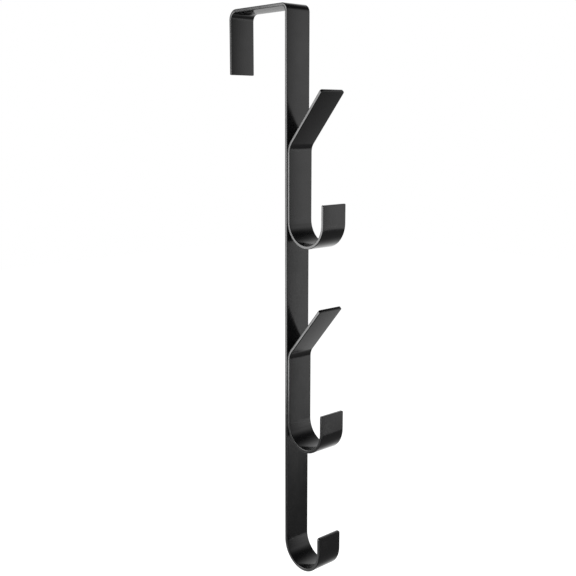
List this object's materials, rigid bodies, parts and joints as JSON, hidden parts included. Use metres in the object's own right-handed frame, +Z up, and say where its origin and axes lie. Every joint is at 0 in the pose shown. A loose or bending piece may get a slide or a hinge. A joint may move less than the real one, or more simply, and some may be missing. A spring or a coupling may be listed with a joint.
{
  "type": "over-the-door hook rack",
  "caption": "Narrow steel strap that hooks over a door's top edge, with U hooks and leaning pegs down its front for coats, towels and clothes hangers.",
  "frame": {"origin": "middle of the underside of the bridge, where it sits on the top edge of the door", "axes": "+Z up, +Y from the hooks towards the door and the back drop, +X across the strip"},
  "size_m": [0.016, 0.0761, 0.3087],
  "materials": {
    "black_coat": "glossy black powder coat on steel",
    "weld_steel": "fused bare steel, hidden between the strips"
  },
  "bodies": {
    "root": {"door_strap": "black_coat", "upper_hook": "black_coat", "lower_hook": "black_coat", "upper_hook_weld_high": "weld_steel", "upper_hook_weld_low": "weld_steel", "lower_hook_weld_high": "weld_steel", "lower_hook_weld_low": "weld_steel"}
  },
  "joints": []
}
